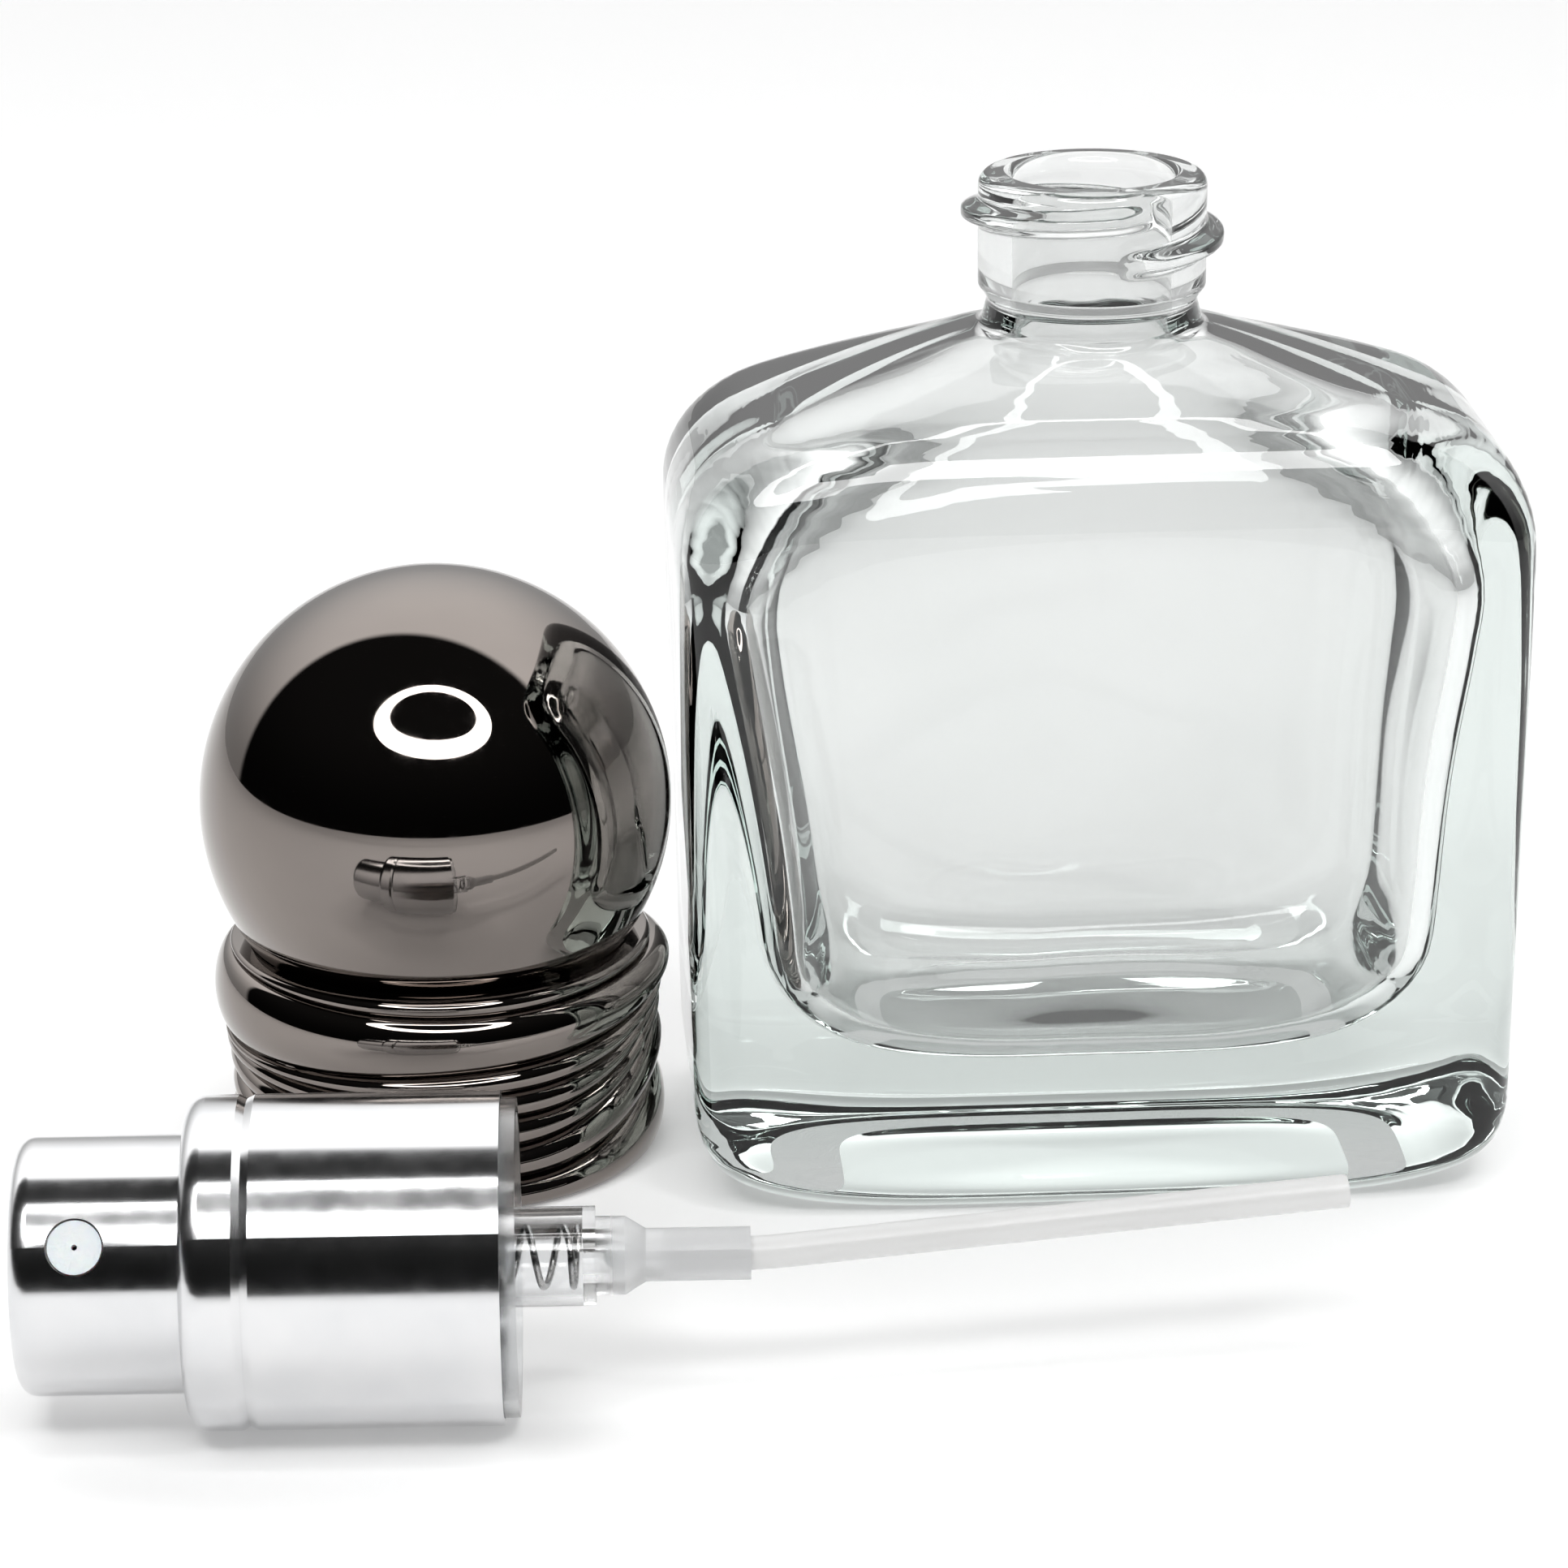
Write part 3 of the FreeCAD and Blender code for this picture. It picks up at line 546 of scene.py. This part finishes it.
def skirt_mesh(name, segments=360):
    bm = bmesh.new()
    rings = []
    for s in range(segments):
        turn = 2 * math.pi * s / segments
        across, ahead = math.cos(turn), math.sin(turn)
        rings.append([bm.verts.new((r * MM * across, r * MM * ahead, z * MM))
                      for r, z in skirt_section(turn)])
    count = len(rings[0])
    for s, ring in enumerate(rings):
        other = rings[(s + 1) % segments]
        for k in range(count):
            n = (k + 1) % count
            bm.faces.new([ring[k], ring[n], other[n], other[k]])
    bmesh.ops.recalc_face_normals(bm, faces=bm.faces)
    return mesh_object(name, bm, cap_frame(), 50)


skirt = skirt_mesh("wrapped_skirt")
finish_with(skirt, materials["cap_skirt"])
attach(skirt, "ball_cap")
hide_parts("cap_skirt")


# ---------------------------------------------------------------- spring

def coil(name, place, radius, wire, low, high, pitch, steps=36, around_wire=12):
    """A compression spring in mm, with one closed turn at each end; wire is its radius."""
    closed = 2.1 * wire     # the rise of a closed turn, just over the wire's thickness
    middle = (high - low - 2 * wire - 2 * closed) / pitch
    turns = middle + 2
    bm = bmesh.new()
    rings = []
    for i in range(int(turns * steps) + 1):
        t = i / steps
        if t < 1:
            z = closed * t
        elif t < 1 + middle:
            z = closed + pitch * (t - 1)
        else:
            z = closed + pitch * middle + closed * (t - 1 - middle)
        a = 2 * math.pi * t
        out = Vector((math.cos(a), math.sin(a), 0))
        centre = out * radius + Vector((0, 0, low + wire + z))
        ring = []
        for k in range(around_wire):
            b = 2 * math.pi * k / around_wire
            at = centre + (out * math.cos(b) + Vector((0, 0, 1)) * math.sin(b)) * wire
            ring.append(bm.verts.new(at * MM))
        rings.append(ring)
    for first, second in zip(rings, rings[1:]):
        for k in range(around_wire):
            n = (k + 1) % around_wire
            bm.faces.new([first[k], first[n], second[n], second[k]])
    bm.faces.new(rings[0])
    bm.faces.new(rings[-1])
    bmesh.ops.recalc_face_normals(bm, faces=bm.faces)
    return mesh_object(name, bm, place)


PUMP = pump_frame()
SPRING_RADIUS, SPRING_WIRE, SPRING_PITCH = 1.87, 0.225, 2.3
SPRING_FOOT, SPRING_TOP, STROKE = 10.42, 21.38, 3.6
spring = coil("return_spring", PUMP, SPRING_RADIUS, SPRING_WIRE, SPRING_FOOT, SPRING_TOP,
              SPRING_PITCH)
finish_with(spring, materials["spring"])
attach(spring, "pump")
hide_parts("spring")
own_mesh(spring)


# ---------------------------------------------------------------- stage

FLOOR_HALF, FLOOR_SHADE, FLOOR_GLOW = 3.0, 0.90, 0.25
RING_CENTRE, RING_FACING = Vector((-0.042, -0.259, 0.510)), Vector((0.06, 0.98, -0.18))
RING_RADIUS, RING_TUBE, RING_STRENGTH = 0.222, 0.036, 9.0


def floor_card():
    bm = bmesh.new()
    bm.faces.new([bm.verts.new((x * FLOOR_HALF, y * FLOOR_HALF, 0))
                  for x, y in ((-1, -1), (1, -1), (1, 1), (-1, 1))])
    made = mesh_object("floor", bm)
    m = Maker("floor")
    shade = (FLOOR_SHADE, FLOOR_SHADE, FLOOR_SHADE, 1)
    m.put(Base_Color=shade, Roughness=0.9,
          Emission_Color=shade, Emission_Strength=FLOOR_GLOW)
    made.data.materials.append(m.made)


def ring_light(centre, facing, radius, tube, strength, steps=96, across=16):
    """A lamp that is a flattened ring, in metres."""
    bm = bmesh.new()
    for i in range(steps):
        a = 2 * math.pi * i / steps
        for j in range(across):
            b = 2 * math.pi * j / across
            reach = radius + tube * math.cos(b)
            bm.verts.new((reach * math.cos(a), reach * math.sin(a),
                          tube * 0.5 * math.sin(b)))
    bm.verts.ensure_lookup_table()
    for i in range(steps):
        for j in range(across):
            i2, j2 = (i + 1) % steps, (j + 1) % across
            bm.faces.new([bm.verts[i * across + j], bm.verts[i2 * across + j],
                          bm.verts[i2 * across + j2], bm.verts[i * across + j2]])
    turn = facing.to_track_quat("Z", "Y").to_matrix().to_4x4()
    made = mesh_object("ring_light", bm, Matrix.Translation(centre) @ turn)
    m = Maker("ring_light")
    m.put(Base_Color=(1, 1, 1, 1), Emission_Color=(1, 1, 1, 1), Emission_Strength=strength)
    made.data.materials.append(m.made)


floor_card()
ring_light(RING_CENTRE, RING_FACING, RING_RADIUS, RING_TUBE, RING_STRENGTH)

# The studio: bright behind the object and dark behind the camera, and brighter overhead.
# Each gradient has a direction, the span of its dot product, and its two ends.
LIT_FROM, LIT_SPAN, LIT_ENDS = (0.342, 0.94, -0.2), (0.0, 0.07), (0.01, 1.0)
HIGH_FROM, HIGH_SPAN, HIGH_ENDS = (0.0, 0.0, 1.0), (0.0, 0.85), (0.50, 1.95)

world = bpy.data.worlds.new("studio")
bpy.context.scene.world = world
world.use_nodes = True
tree = world.node_tree
back = tree.nodes["Background"]
where = tree.nodes.new("ShaderNodeTexCoord").outputs["Generated"]


def world_dot(direction):
    made = tree.nodes.new("ShaderNodeVectorMath")
    made.operation = "DOT_PRODUCT"
    made.inputs[1].default_value = direction
    tree.links.new(where, made.inputs[0])
    return made.outputs["Value"]


def world_ramp(value, span, ends):
    made = tree.nodes.new("ShaderNodeMapRange")
    made.interpolation_type = "SMOOTHSTEP"
    made.inputs["From Min"].default_value, made.inputs["From Max"].default_value = span
    made.inputs["To Min"].default_value, made.inputs["To Max"].default_value = ends
    tree.links.new(value, made.inputs["Value"])
    return made.outputs["Result"]


lit = world_ramp(world_dot(LIT_FROM), LIT_SPAN, LIT_ENDS)
high = world_ramp(world_dot(HIGH_FROM), HIGH_SPAN, HIGH_ENDS)
product = tree.nodes.new("ShaderNodeMath")
product.operation = "MULTIPLY"
tree.links.new(lit, product.inputs[0])
tree.links.new(high, product.inputs[1])
tree.links.new(product.outputs["Value"], back.inputs["Color"])
back.inputs["Strength"].default_value = 1.0


# ---------------------------------------------------------------- camera

CAMERA_PLACE, CAMERA_LENS = (-0.04354, -0.36947, 0.14988), 130.43
CAMERA_AIM, CAMERA_ROLL = Vector((0.0579, 0.9466, -0.3173)).normalized(), math.radians(-0.5)

view = bpy.data.cameras.new("camera")
view.lens, view.sensor_width = CAMERA_LENS, 36.0
view.clip_start, view.clip_end = 0.01, 50.0
camera = bpy.data.objects.new("camera", view)
bpy.context.scene.collection.objects.link(camera)
camera.location = CAMERA_PLACE
camera.rotation_mode = "QUATERNION"
camera.rotation_quaternion = (CAMERA_AIM.to_track_quat("-Z", "Y")
                              @ Quaternion((0, 0, 1), CAMERA_ROLL))
bpy.context.scene.camera = camera
bpy.context.scene.view_settings.view_transform = "Standard"
